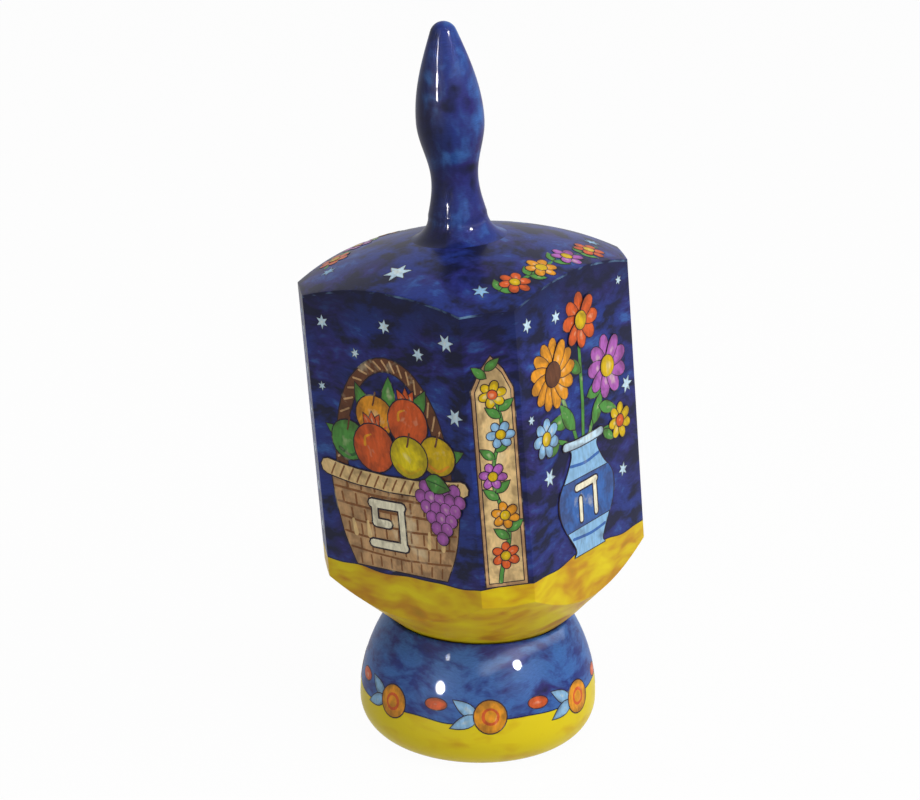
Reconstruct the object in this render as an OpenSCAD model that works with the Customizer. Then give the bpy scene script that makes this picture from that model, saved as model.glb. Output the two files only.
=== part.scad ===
// A painted wooden dreidel, a four-sided spinning top, resting in its turned cup stand.
// The stand stands upright on z = 0 with its axis on Z. The dreidel leans in the cup about the
// centre of its round underside, which is also the origin of the dreidel's own frame.

/* [Block] */
// Width across two opposite faces
block_w = 68.5; // [62:0.5:80]
// Depth planed off each side of an upright edge
edge_flat = 9.5; // [5:0.5:14]
// Length of the upright edges
edge_h = 75.8; // [65:0.2:90]
// Rise of the turned top above the upright edges
crown_h = 10; // [6:0.5:14]
// Radius of the round underside that sits in the cup
seat_r = 38; // [35:0.5:40]

/* [Finger grip] */
// Length from the foot to the point
grip_h = 55; // [45:0.1:65]
// Height of the thickest place above the foot
swell_h = 30; // [24:0.5:34]
// Height of the thinnest place above the foot
waist_h = 15; // [11:0.5:18]
// Diameter at the thickest place
swell_d = 17.3; // [15:0.1:21]
// Diameter at the thinnest place
waist_d = 12; // [11:0.1:14]
// Diameter above the cove at the foot
neck_d = 15; // [14:0.1:17]
// Radius of the cove at the foot
cove_r = 6; // [4:0.25:7]
// Radius of the rounded point
nose_r = 3.5; // [2.5:0.1:4.5]
// Diameter of the tenon glued into the block
tenon_d = 10; // [8:0.5:11]
// Length of the tenon
tenon_h = 20; // [12:1:30]

/* [Spinning tip] */
// Length that shows below the block
tip_h = 8; // [5:0.5:10]
// Diameter of the shoulder against the block
tip_d = 10; // [8.5:0.5:12]
// Radius of the rounded point
point_r = 1.6; // [1:0.1:2.5]
// Diameter of the peg glued into the block
peg_d = 7; // [5:0.5:8]
// Length of the peg
peg_h = 12; // [8:1:20]

/* [Stand] */
// Height of the rim above the foot
stand_h = 33.5; // [30:0.5:38]
// Diameter at the widest place
belly_d = 63; // [58:1:70]
// Height of the widest place above the foot
belly_h = 10; // [8:0.5:12]
// Diameter of the circle along the middle of the rim
rim_d = 47.6; // [44:0.2:50]
// Radius of the rounded rim
rim_r = 0.9; // [0.6:0.1:1.5]
// Height of the cup's floor above the foot
floor_h = 10; // [6:0.5:12]

/* [Fits] */
// Lean of the dreidel in the cup, in degrees
lean = 5; // [0:0.5:6]
// Turn of the dreidel about its own axis, in degrees
turn = -36.2; // [-45:0.1:45]
// Gap between the round underside and the rim
seat_gap = 0.25; // [0.2:0.05:0.4]
// Gap around and behind the glued tenon and peg
glue_gap = 0.1; // [0.05:0.01:0.2]
// Room left for glue at the end of each drilled hole
hole_end = 1; // [0.5:0.25:2]
// Width of the flat left around a shoulder that is let into a dome
spot_edge = 0.3; // [0.1:0.05:0.5]

/* [Hidden] */
$fn = 96;

over = 1;          // overrun of every cut
span_steps = 14;   // steps along each curved stretch of the grip
cove_start = 24;   // angle where the cove leaves the edge of the foot
cone_spare = 0.5;  // angle kept between the contact and the start of the cone

// The stand's rim is a ring of radius rim_r. The underside is a sphere that lies seat_gap above it.
rim_c = rim_d / 2;
rim_z = stand_h - rim_r;
reach = seat_r + seat_gap + rim_r;
seat_z = rim_z + sqrt(reach * reach - rim_c * rim_c);
contact_slope = asin(rim_c / reach);

// Heights in the dreidel's own frame, from the centre of the round underside
cone_slope = contact_slope + lean + cone_spare;
cone_r = seat_r * sin(cone_slope);
cone_z = -seat_r * cos(cone_slope);
corner_r = norm([block_w / 2, block_w / 2 - edge_flat]);
edge_low = cone_z + (corner_r - cone_r) * tan(cone_slope);
edge_high = edge_low + edge_h;
crown_r = (corner_r * corner_r + crown_h * crown_h) / (2 * crown_h);
crown_c = edge_high + crown_h - crown_r;

// Shoulders that are let into the domes
foot_r = neck_d / 2 + cove_r * (1 - sin(cove_start));
grip_z = crown_c + drop_from(crown_r, foot_r + spot_edge);
tip_z = -drop_from(seat_r, tip_d / 2 + spot_edge);

// The stand's outside is one arc from the belly to the rim, and its cup is one ball
foot_round = belly_h;
belly_r = belly_d / 2;
side_r = tangent_r(rim_c - belly_r, rim_z - belly_h, rim_r);
cup_r = tangent_r(rim_c, rim_z - floor_h, rim_r);

// Distance from the centre of a ball to the flat of radius r cut on it
function drop_from(ball, r) = sqrt(ball * ball - r * r);
// Radius of the arc that starts level with the origin and ends on a ring at (x, z) of radius r.
// For x below zero the arc bulges out to the ring's far side, else it hollows in to its near side.
function tangent_r(x, z, r) =
    x < 0 ? (x * x + z * z - r * r) / (-2 * (x + r)) : (x * x + z * z - r * r) / (2 * (z + r));
// Smooth step from 0 to 1 that starts and ends level
function ease(t) = (1 - cos(180 * t)) / 2;
function steps(n) = [for (i = [0:n]) i / n];

// The grip tapers from its swell to a ball, and the ball takes over where their slopes are alike
nose_tilt = atan(PI / 2 * (swell_d / 2 - nose_r) / (grip_h - nose_r - swell_h));
taper_r = nose_r * cos(nose_tilt);
taper_h = grip_h - nose_r * (1 - sin(nose_tilt));

// Half outline of the grip, from the edge of its foot to its point
grip_line = concat(
    [[0, 0], [foot_r, 0]],
    [for (t = steps(span_steps)) let (a = cove_start + (90 - cove_start) * t)
        [neck_d / 2 + cove_r * (1 - sin(a)), cove_r * (1 - cos(a))]],
    [for (t = steps(span_steps))
        [neck_d / 2 - (neck_d - waist_d) / 2 * sin(90 * t), cove_r + (waist_h - cove_r) * t]],
    [for (t = steps(span_steps))
        [waist_d / 2 + (swell_d - waist_d) / 2 * ease(t), waist_h + (swell_h - waist_h) * t]],
    [for (t = steps(span_steps))
        [taper_r + (swell_d / 2 - taper_r) * cos(90 * t), swell_h + (taper_h - swell_h) * t]],
    [for (t = steps(span_steps)) let (a = nose_tilt + (90 - nose_tilt) * t)
        [nose_r * cos(a), grip_h - nose_r * (1 - sin(a))]]
);

// Keeps the half of a flat outline that is right of the axis, out to a given size
module right_half(size) intersection() {
    union() children();
    translate([0, -size]) square([size, 2 * size]);
}

// Puts a piece of the dreidel where it rests in the cup
module in_cup() translate([0, 0, seat_z]) rotate([0, -lean, 0]) rotate([0, 0, turn]) children();

// Outline of the block's turned ends: a ball, a cone that meets it smoothly, and the crown
module turned_outline() intersection() {
    union() {
        circle(r = seat_r);
        polygon([
            [0, 0],
            [cone_r, cone_z],
            [block_w, cone_z + (block_w - cone_r) * tan(cone_slope)],
            [block_w, crown_c + crown_r],
            [0, crown_c + crown_r]
        ]);
    }
    translate([0, crown_c]) circle(r = crown_r);
}

// Square block with a narrow flat along each upright edge
module edged_square() {
    half = block_w / 2;
    cut = half - edge_flat;
    polygon([
        [half, -cut], [half, cut], [cut, half], [-cut, half],
        [-half, cut], [-half, -cut], [-cut, -half], [cut, -half]
    ]);
}

module body() color("#26348f") in_cup() difference() {
    intersection() {
        translate([0, 0, -seat_r]) linear_extrude(seat_r + edge_high + crown_h) edged_square();
        rotate_extrude() right_half(block_w + edge_h) turned_outline();
    }
    translate([0, 0, grip_z]) cylinder(r = foot_r + spot_edge, h = crown_h);
    translate([0, 0, grip_z - tenon_h - hole_end])
        cylinder(d = tenon_d + 2 * glue_gap, h = tenon_h + hole_end + over);
    translate([0, 0, tip_z - seat_r]) cylinder(d = tip_d + 2 * spot_edge, h = seat_r);
    translate([0, 0, tip_z - over])
        cylinder(d = peg_d + 2 * glue_gap, h = peg_h + hole_end + over);
}

module handle() color("#1f2c86") in_cup() {
    translate([0, 0, grip_z]) rotate_extrude() polygon(grip_line);
    translate([0, 0, grip_z - tenon_h]) cylinder(d = tenon_d, h = tenon_h + over);
}

// Peg with a shoulder and a blunt cone that ends in a rounded point
module spin_tip() color("#d8a411") in_cup() translate([0, 0, tip_z - glue_gap]) {
    cylinder(d = peg_d, h = peg_h);
    rotate_extrude() right_half(tip_h) {
        translate([0, point_r - tip_h]) circle(r = point_r);
        polygon([[0, 0], [tip_d / 2, 0], [point_r, point_r - tip_h], [0, point_r - tip_h]]);
    }
}

// Outline of the stand before its cup is cut
module stand_outline() {
    translate([belly_r - foot_round, foot_round]) circle(r = foot_round);
    square([belly_r - foot_round, stand_h - rim_r]);
    intersection() {
        translate([belly_r - side_r, belly_h]) circle(r = side_r);
        translate([0, belly_h]) square([belly_d, rim_z - belly_h]);
    }
}

module stand() color("#2b3fa0") rotate_extrude() right_half(belly_d) {
    difference() {
        stand_outline();
        translate([0, floor_h + cup_r]) circle(r = cup_r);
    }
    translate([rim_c, rim_z]) circle(r = rim_r);
}

stand();
body();
handle();
spin_tip();
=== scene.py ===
"""Looks of a large painted wooden dreidel that leans in its turned cup stand.

Every wooden piece is turned on a lathe, as the real ones are. The pictures on it are thin films of
paint that are drawn flat in millimetres, back to front, and then laid on the wood.
"""

import math
from types import SimpleNamespace

import bmesh
import bpy
from mathutils import Matrix, Vector, noise


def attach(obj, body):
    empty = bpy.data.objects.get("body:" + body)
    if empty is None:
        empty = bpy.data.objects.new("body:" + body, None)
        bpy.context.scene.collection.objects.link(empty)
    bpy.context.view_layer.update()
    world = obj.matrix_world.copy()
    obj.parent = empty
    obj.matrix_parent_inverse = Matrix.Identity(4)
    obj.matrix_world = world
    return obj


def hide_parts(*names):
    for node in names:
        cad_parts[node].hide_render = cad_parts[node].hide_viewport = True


bl_info = {
    "name": "Painted Dreidel on a Cup Stand",
    "version": (1, 0, 0),
    "blender": (4, 5, 0),
    "location": "3D View > Sidebar > Dreidel",
    "description": "Models and paints a large wooden dreidel that leans in its turned cup stand",
    "category": "Add Mesh",
}

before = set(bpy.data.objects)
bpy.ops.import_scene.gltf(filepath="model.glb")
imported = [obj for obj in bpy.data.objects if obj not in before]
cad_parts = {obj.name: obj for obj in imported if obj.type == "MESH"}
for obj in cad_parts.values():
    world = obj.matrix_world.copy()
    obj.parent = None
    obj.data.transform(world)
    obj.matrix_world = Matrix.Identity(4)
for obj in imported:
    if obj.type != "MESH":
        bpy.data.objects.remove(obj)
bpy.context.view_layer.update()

MM = 0.001
WELD = 1e-6


def linear(hex_colour):
    """Turns an sRGB hex colour into the linear red, green, blue and alpha that Blender mixes"""
    channels = [int(hex_colour[i : i + 2], 16) / 255 for i in (1, 3, 5)]
    curve = [c / 12.92 if c <= 0.04045 else ((c + 0.055) / 1.055) ** 2.4 for c in channels]
    return (*curve, 1.0)


def length(name, description, default):
    """A size that a user may change, in metres"""
    return bpy.props.FloatProperty(name=name, description=description, default=default, unit="LENGTH")


def angle(name, description, degrees):
    """An angle that a user may change"""
    default = math.radians(degrees)
    return bpy.props.FloatProperty(name=name, description=description, default=default, subtype="ANGLE")


def colour(name, description, hex_colour):
    """A paint that a user may change"""
    return bpy.props.FloatVectorProperty(
        name=name, description=description, default=linear(hex_colour), subtype="COLOR", size=4, min=0, max=1
    )


class DreidelSizes(bpy.types.PropertyGroup):
    """Sizes of the turned pieces, the same as the part's own"""

    block_width: length("Block width", "Width across two opposite faces", 0.0685)
    edge_flat: length("Planed edge", "Depth planed off each side of an upright edge", 0.0095)
    edge_height: length("Edge height", "Length of the upright edges", 0.0758)
    crown_height: length("Crown height", "Rise of the turned top above the upright edges", 0.010)
    seat_radius: length("Underside radius", "Radius of the round underside", 0.038)
    edge_softness: length("Edge softness", "Width that sanding and paint round off an edge", 0.0006)
    grip_height: length("Grip length", "Length of the grip from its foot to its point", 0.055)
    swell_height: length("Swell height", "Height of the grip's thickest place", 0.030)
    waist_height: length("Waist height", "Height of the grip's thinnest place", 0.015)
    swell_width: length("Swell diameter", "Diameter at the grip's thickest place", 0.0173)
    waist_width: length("Waist diameter", "Diameter at the grip's thinnest place", 0.012)
    neck_width: length("Neck diameter", "Diameter above the cove at the grip's foot", 0.015)
    cove_radius: length("Cove radius", "Radius of the cove at the grip's foot", 0.006)
    nose_radius: length("Point radius", "Radius of the grip's rounded point", 0.0035)
    tenon_width: length("Tenon diameter", "Diameter of the tenon glued into the block", 0.010)
    tenon_length: length("Tenon length", "Length of the tenon glued into the block", 0.020)
    tip_height: length("Tip length", "Length of the spinning tip that shows", 0.008)
    tip_width: length("Tip diameter", "Diameter of the tip's shoulder", 0.010)
    point_radius: length("Tip point radius", "Radius of the tip's rounded point", 0.0016)
    peg_width: length("Peg diameter", "Diameter of the peg glued into the block", 0.007)
    peg_length: length("Peg length", "Length of the peg glued into the block", 0.012)
    stand_height: length("Stand height", "Height of the stand's rim above its foot", 0.0335)
    belly_width: length("Belly diameter", "Diameter of the stand at its widest place", 0.063)
    belly_height: length("Belly height", "Height of the stand's widest place", 0.010)
    rim_width: length("Rim diameter", "Diameter of the circle along the middle of the rim", 0.0476)
    rim_radius: length("Rim radius", "Radius of the rounded rim", 0.0009)
    floor_height: length("Cup floor height", "Height of the cup's floor above the foot", 0.010)
    seat_gap: length("Seat gap", "Gap between the round underside and the rim", 0.00025)
    glue_gap: length("Glue gap", "Gap around the glued tenon and peg", 0.0001)
    hole_end: length("Hole end", "Room left for glue at the end of each drilled hole", 0.001)
    spot_edge: length("Spot edge", "Flat left around a shoulder let into a dome", 0.0003)
    lean: angle("Lean", "Lean of the dreidel in its cup", 5)
    turn: angle("Turn", "Turn of the dreidel about its own axis", -36.2)
    cone_spare: angle("Cone spare", "Angle kept between the seat and the start of the cone above it", 0.5)


class DreidelColours(bpy.types.PropertyGroup):
    """Paints on the dreidel and its stand"""

    midnight: colour("Midnight blue", "Darkest strokes of the sky", "#0e1130")
    violet_blue: colour("Violet blue", "Strokes of the sky that lean to violet", "#272468")
    ultramarine: colour("Ultramarine", "Most of the sky", "#203179")
    cobalt: colour("Cobalt blue", "Light strokes of the sky", "#3763a8")
    light_blue: colour("Light blue", "Vase, leaves and bands", "#86b2d6")
    pale_blue: colour("Pale blue", "Stars", "#bcd6e6")
    olive_ochre: colour("Olive ochre", "Darkest strokes of the ground", "#8f7412")
    ochre: colour("Ochre", "Warm strokes of the ground", "#bf8716")
    golden: colour("Golden yellow", "Most of the ground", "#d0ad0c")
    lemon: colour("Lemon yellow", "Light strokes of the ground", "#dcc60e")
    tan: colour("Tan", "Basket and jug", "#c39a6c")
    sand: colour("Sand", "Light parts of the basket and jug", "#dcbb82")
    brown: colour("Brown", "Lines of the weave and bands", "#83552f")
    umber: colour("Umber", "Basket handle and flower centres", "#643c26")
    cream: colour("Cream", "Letters", "#e9e2c6")
    red_orange: colour("Red orange", "Fruit, buds and flames", "#cf5824")
    amber: colour("Amber", "Flowers, fruit and flames", "#dd9220")
    green: colour("Green", "Leaves and stems", "#4c8a3d")
    deep_green: colour("Deep green", "Stems and olives", "#2f5a2c")
    magenta: colour("Magenta", "Grapes and flowers", "#a95cae")
    ink: colour("Ink", "Outlines", "#241a26")


class StageSettings(bpy.types.PropertyGroup):
    """The plain studio around the dreidel"""

    sky: colour("Sky light", "Colour of the light from all around", "#ffffff")
    sky_strength: bpy.props.FloatProperty(
        name="Sky strength", description="Strength of the light from all around", default=0.35
    )
    backdrop: colour("Backdrop", "Colour of the floor and the backdrop", "#dededc")


# Directions that the block's broad faces and planed edges look in, in degrees in its own frame
FACES = (-90, 0, 90, 180)
PLANED_EDGES = (-45, 45, 135, 225)
# Wood left outside the block's corners until its flats are planed
TURNING_WASTE = 4 * MM
# Steps round a large turned piece, and up each curve of the grip
LATHE_STEPS = 128
CURVE_STEPS = 16
# Sharpest bend that is shaded smooth, and least bend that is an edge to round off. Such an edge stays
# crisp where it is nearer the axis than this many times the radius of the grip's foot.
SOFT_EDGE = math.radians(30)
SHARP_EDGE = math.radians(15)
CRISP_REACH = 1.5
ROUNDING_STEPS = 3
# Angle, in degrees, where the grip's cove leaves the edge of its foot
COVE_START = 24
# Glue and paint fill the corner under the grip: how far they reach out on the crown, how deep their edge
# is sunk in it, how far they lean, and how many steps of the cove they hide
FILLET = 2.2 * MM
FILLET_SINK = 0.05 * MM
FILLET_LEAN = math.radians(44)
FILLED = 4


def arc(start, end, steps):
    """Angles from start to end, both included, in radians from degrees"""
    return [math.radians(start + (end - start) * i / steps) for i in range(steps + 1)]


def parts_of_one(steps):
    """Numbers from 0 to 1 in even steps"""
    return [i / steps for i in range(steps + 1)]


def bow(x, y, radius, start, end, steps):
    """Points on a circle round a centre, from one angle to another in degrees"""
    return [(x + radius * math.cos(a), y + radius * math.sin(a)) for a in arc(start, end, steps)]


def eased(start, end, ease):
    """Points from one (radius, height) to another, in even steps of height and with the radius eased"""
    (r0, z0), (r1, z1) = start, end
    return [(r0 + (r1 - r0) * ease(t), z0 + (z1 - z0) * t) for t in parts_of_one(CURVE_STEPS)[1:]]


def outward(azimuth):
    """Level direction of an azimuth in degrees"""
    return Vector((math.cos(math.radians(azimuth)), math.sin(math.radians(azimuth)), 0))


def drop_from(ball, radius):
    """Distance from the centre of a ball to the flat of a given radius cut on it"""
    return math.sqrt(ball * ball - radius * radius)


def angle_on(ball, radius):
    """Angle above the middle of a ball, in degrees, at which it is a given radius wide"""
    return math.degrees(math.acos(radius / ball))


def work_out_form(sizes):
    """Works out from the driving sizes where the dreidel sits and where its outlines bend"""
    form = SimpleNamespace()
    form.rim_r = sizes.rim_width / 2
    form.rim_z = sizes.stand_height - sizes.rim_radius
    reach = sizes.seat_radius + sizes.seat_gap + sizes.rim_radius
    form.seat_z = form.rim_z + drop_from(reach, form.rim_r)
    form.cone_slope = math.asin(form.rim_r / reach) + sizes.lean + sizes.cone_spare
    form.cone_r = sizes.seat_radius * math.sin(form.cone_slope)
    form.cone_z = -sizes.seat_radius * math.cos(form.cone_slope)
    half = sizes.block_width / 2
    form.corner_r = math.hypot(half, half - sizes.edge_flat)
    form.edge_low = form.cone_z + (form.corner_r - form.cone_r) * math.tan(form.cone_slope)
    form.edge_high = form.edge_low + sizes.edge_height
    form.crown_r = (form.corner_r**2 + sizes.crown_height**2) / (2 * sizes.crown_height)
    form.crown_c = form.edge_high + sizes.crown_height - form.crown_r
    form.foot_r = sizes.neck_width / 2 + sizes.cove_radius * (1 - math.sin(math.radians(COVE_START)))
    form.grip_z = form.crown_c + drop_from(form.crown_r, form.foot_r + sizes.spot_edge)
    form.tip_z = -drop_from(sizes.seat_radius, sizes.tip_width / 2 + sizes.spot_edge)
    form.planed_distance = (sizes.block_width - sizes.edge_flat) / math.sqrt(2)
    form.belly_r = sizes.belly_width / 2
    rise = form.rim_z - sizes.belly_height
    run = form.rim_r - form.belly_r
    form.side_r = (run**2 + rise**2 - sizes.rim_radius**2) / (-2 * (run + sizes.rim_radius))
    form.side_c = form.belly_r - form.side_r
    depth = form.rim_z - sizes.floor_height
    form.cup_r = (form.rim_r**2 + depth**2 - sizes.rim_radius**2) / (2 * (depth + sizes.rim_radius))
    leaning = Matrix.Rotation(-sizes.lean, 4, "Y") @ Matrix.Rotation(sizes.turn, 4, "Z")
    form.own = Matrix.Translation((0, 0, form.seat_z)) @ leaning
    return form


def working_values(context):
    """The sizes, the form worked out from them, and the colours"""
    sizes = context.scene.dreidel_sizes
    return sizes, work_out_form(sizes), context.scene.dreidel_colours


def deselect_all():
    """Leaves edit mode and deselects every object"""
    if bpy.context.object and bpy.context.object.mode != "OBJECT":
        bpy.ops.object.mode_set(mode="OBJECT")
    bpy.ops.object.select_all(action="DESELECT")


def take_up(piece, mode="OBJECT"):
    """Makes one piece the active one and the only one selected"""
    deselect_all()
    piece.select_set(True)
    bpy.context.view_layer.objects.active = piece
    bpy.ops.object.mode_set(mode=mode)


def turn_on_lathe(name, outline, steps=LATHE_STEPS):
    """Spins an outline of (radius, height) points, from axis to axis, into a closed turned piece"""
    deselect_all()
    bpy.ops.mesh.primitive_plane_add(size=MM)
    piece = bpy.context.object
    piece.name = name
    bpy.ops.object.mode_set(mode="EDIT")
    bpy.ops.mesh.select_all(action="SELECT")
    bpy.ops.mesh.merge(type="CENTER")
    bpy.ops.transform.translate(value=(outline[0][0], 0, outline[0][1]))
    for (r0, z0), (r1, z1) in zip(outline, outline[1:]):
        bpy.ops.mesh.extrude_vertices_move(TRANSFORM_OT_translate={"value": (r1 - r0, 0, z1 - z0)})
    bpy.ops.mesh.select_all(action="SELECT")
    bpy.ops.mesh.spin(steps=steps, angle=2 * math.pi, center=(0, 0, 0), axis=(0, 0, 1))
    bpy.ops.mesh.select_all(action="SELECT")
    bpy.ops.mesh.remove_doubles(threshold=WELD)
    bpy.ops.mesh.normals_make_consistent(inside=False)
    bpy.ops.object.mode_set(mode="OBJECT")
    return piece


def plane_off(piece, azimuth, distance):
    """Planes one upright flat on the block and leaves the cut closed"""
    out = outward(azimuth)
    take_up(piece, "EDIT")
    bpy.ops.mesh.select_all(action="SELECT")
    bpy.ops.mesh.bisect(
        plane_co=out * distance, plane_no=out, use_fill=True, clear_outer=True, threshold=WELD
    )
    bpy.ops.object.mode_set(mode="OBJECT")


def soften_edges(piece, width, inside_r):
    """Rounds off the sharp edges that are further than inside_r from the axis"""
    take_up(piece, "EDIT")
    bpy.ops.mesh.select_mode(type="EDGE")
    bpy.ops.mesh.select_all(action="DESELECT")
    bpy.ops.mesh.edges_select_sharp(sharpness=SHARP_EDGE)
    mesh = bmesh.from_edit_mesh(piece.data)
    for edge in mesh.edges:
        if edge.select and min(v.co.xy.length for v in edge.verts) < inside_r:
            edge.select_set(False)
    mesh.select_flush_mode()
    bmesh.update_edit_mesh(piece.data)
    bpy.ops.mesh.bevel(offset=width, segments=ROUNDING_STEPS, profile=0.5, clamp_overlap=True)
    bpy.ops.mesh.select_mode(type="VERT")
    bpy.ops.mesh.select_all(action="SELECT")
    bpy.ops.mesh.remove_doubles(threshold=WELD)
    bpy.ops.object.mode_set(mode="OBJECT")


def place(piece, matrix):
    """Puts a finished piece where it belongs, with its place in its mesh"""
    take_up(piece)
    piece.matrix_world = matrix
    bpy.ops.object.transform_apply(location=True, rotation=True, scale=True)


def finish_turned(piece, matrix, material):
    """Places a turned piece, shades it smooth up to its crisp edges and paints it"""
    place(piece, matrix)
    bpy.ops.object.shade_smooth_by_angle(angle=SOFT_EDGE)
    piece.data.materials.append(material)


def shown(piece, body, slot_name, *nodes):
    """Says what the finished piece moves with and which solids it stands for; slot_name is not used"""
    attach(piece, body)
    if nodes:
        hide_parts(*nodes)


def block_outline(sizes, form):
    """Half outline of the block as it comes off the lathe, from its upper hole to its lower hole"""
    blank_r = form.corner_r + TURNING_WASTE
    tenon_r = sizes.tenon_width / 2 + sizes.glue_gap
    peg_r = sizes.peg_width / 2 + sizes.glue_gap
    hole_low = form.grip_z - sizes.tenon_length - sizes.hole_end
    hole_high = form.tip_z + sizes.peg_length + sizes.hole_end
    cone_top = form.cone_z + (blank_r - form.cone_r) * math.tan(form.cone_slope)
    spot_angle = angle_on(form.crown_r, form.foot_r + sizes.spot_edge)
    blank_angle = angle_on(form.crown_r, blank_r)
    cone_angle = angle_on(sizes.seat_radius, form.cone_r)
    shoulder_angle = angle_on(sizes.seat_radius, sizes.tip_width / 2 + sizes.spot_edge)
    return [
        (0, hole_low),
        (tenon_r, hole_low),
        (tenon_r, form.grip_z),
        *bow(0, form.crown_c, form.crown_r, spot_angle, blank_angle, steps=24),
        (blank_r, cone_top),
        *bow(0, 0, sizes.seat_radius, -cone_angle, -shoulder_angle, steps=24),
        (peg_r, form.tip_z),
        (peg_r, hole_high),
        (0, hole_high),
    ]


def grip_outline(sizes, form):
    """Half outline of the finger grip, from the end of its tenon to its point"""
    neck_r, tenon_r = sizes.neck_width / 2, sizes.tenon_width / 2
    nose_r, cove_r = sizes.nose_radius, sizes.cove_radius
    nose_z = sizes.grip_height - nose_r
    waist = (sizes.waist_width / 2, sizes.waist_height)
    swell = (sizes.swell_width / 2, sizes.swell_height)
    tilt = math.atan(math.pi / 2 * (swell[0] - nose_r) / (nose_z - swell[1]))
    taper_end = (nose_r * math.cos(tilt), nose_z + nose_r * math.sin(tilt))
    cove = bow(neck_r + cove_r, cove_r, cove_r, -90 - COVE_START, -180, steps=12)
    start_r, start_z = cove[FILLED]
    end_r = form.foot_r + sizes.spot_edge + FILLET
    end_z = form.crown_c + drop_from(form.crown_r, end_r) - form.grip_z
    corner_r = start_r + (start_z - end_z) * math.tan(FILLET_LEAN)
    fillet = []
    for t in parts_of_one(8):
        r = end_r * (1 - t) ** 2 + corner_r * 2 * t * (1 - t) + start_r * t**2
        fillet.append((r, end_z + (start_z - end_z) * t**2))
    line = [
        (0, -sizes.tenon_length),
        (tenon_r, -sizes.tenon_length),
        (tenon_r, 0),
        (form.foot_r, 0),
        (end_r, end_z - FILLET_SINK),
        *fillet,
        *cove[FILLED + 1 :],
        *eased((neck_r, cove_r), waist, lambda t: math.sin(math.pi / 2 * t)),
        *eased(waist, swell, lambda t: (1 - math.cos(math.pi * t)) / 2),
        *eased(swell, taper_end, lambda t: 1 - math.cos(math.pi / 2 * t)),
        *bow(0, nose_z, nose_r, math.degrees(tilt), 90, steps=10)[1:-1],
        (0, sizes.grip_height),
    ]
    return [(r, form.grip_z + z) for r, z in line]


def tip_outline(sizes, form):
    """Half outline of the spinning tip, from its rounded point to the end of its peg"""
    shoulder_z = form.tip_z - sizes.glue_gap
    point_z = shoulder_z - sizes.tip_height + sizes.point_radius
    peg_r, peg_z = sizes.peg_width / 2, shoulder_z + sizes.peg_length
    point = bow(0, point_z, sizes.point_radius, -90, 0, steps=10)
    return [*point, (sizes.tip_width / 2, shoulder_z), (peg_r, shoulder_z), (peg_r, peg_z), (0, peg_z)]


def stand_outline(sizes, form):
    """Half outline of the stand, from the middle of its foot round the rim to the cup's floor"""
    belly_z, ball_z = sizes.belly_height, sizes.floor_height + form.cup_r
    rim_angle = math.degrees(math.atan2(form.rim_z - belly_z, form.rim_r - form.side_c))
    cup_angle = math.degrees(math.atan2(ball_z - form.rim_z, form.rim_r))
    return [
        (0, 0),
        *bow(form.belly_r - belly_z, belly_z, belly_z, -90, 0, steps=20),
        *bow(form.side_c, belly_z, form.side_r, 0, rim_angle, steps=24)[1:],
        *bow(form.rim_r, form.rim_z, sizes.rim_radius, rim_angle, 180 - cup_angle, steps=14)[1:],
        *bow(0, ball_z, form.cup_r, -cup_angle, -90, steps=28)[1:-1],
        (0, sizes.floor_height),
    ]


# Sizes of the brushwork, in metres, and how far its marks are drawn out along the strokes
BRISTLE = 0.0011
STROKE = 0.0075
SCUMBLE = 0.018
DAB = 0.0065
ROLLING = 0.022
WASH = 0.014
POOL = 0.0055
HAND_BEND = 0.009
STROKE_STRETCH = 2.0
GRIP_STRETCH = 0.6
DAB_STRETCH = 1.9
WASH_STRETCH = 2.6
SCUMBLE_STRETCH = 1.2
ROLLING_STRETCH = 0.3
BRISTLE_STRETCH = 7.0
FILM_BRISTLES = 0.35
# Turn of the brushwork round the grip, which puts its pale strokes on the lit side as painted light
GRIP_STROKES = math.radians(110)
# Painted shade on the grip's unlit side: its direction in the brushwork, and where the shade starts and is
# full, as distances from the axis that vary with the strokes
GRIP_SHADED_SIDE = math.radians(121)
SIDE_UNEVEN = 0.012
SIDE_START = -0.0055
SIDE_END = 0.0005

# How much the varnish blurs what it mirrors: little where the piece was turned smooth, more on the block
POLISHED = 0.05
BRUSHED = 0.2

# The dark band and the pale line of painted highlight under the turned top, how far the flats end below
# its surface, and the edge of the golden ground, in metres
RIM_SHADE = 0.012
RIM_HIGHLIGHT_WIDTH = 0.0006
CROWN_SKIN = 0.0001
GROUND_SWELL = 0.003
GROUND_LINE = 0.0003

# How much of the sky's tone comes from its strokes and from its dabs, and what is taken off the sum
MARK_SHARE = 0.88
DAB_SHARE = 0.22
SKY_DEPTH = -0.05
# How much lighter than that the sky of each piece is, below zero where it is darker
BLOCK_LIFT = -0.035
GRIP_LIFT = 0.07
STAND_LIFT = 0.19
# Where the sky of each piece meets its golden ground, in metres in its own frame, and how far the ground
# leans to lemon
BLOCK_GROUND = (-0.0075, 0.03)
STAND_GROUND = (0.0152, 0.24)
# Paints of the sky and the ground by tone, from dark to light
COOL_SKY = {0.34: "midnight", 0.49: "ultramarine", 0.58: "ultramarine", 0.74: "cobalt"}
WARM_SKY = {0.36: "midnight", 0.52: "violet_blue", 0.76: "cobalt"}
GROUND_WASHES = {0.18: "olive_ochre", 0.40: "ochre", 0.54: "golden", 0.70: "lemon"}

# What a film's colour goes to, and how far, where it pooled and where it was spread thin
UMBER_SHADE = linear("#3a2218")
POOLED = 0.45
CREAM_LIGHT = linear("#f0e6c0")
SPREAD = 0.35
# How much lighter the middle of a shaded film is than its rim
MODELLING = 0.32
# Attribute that runs from zero at the rim of a shaded film to one at its middle, and is halfway elsewhere
MIDDLE = "middle"
HALFWAY = 0.5


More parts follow.
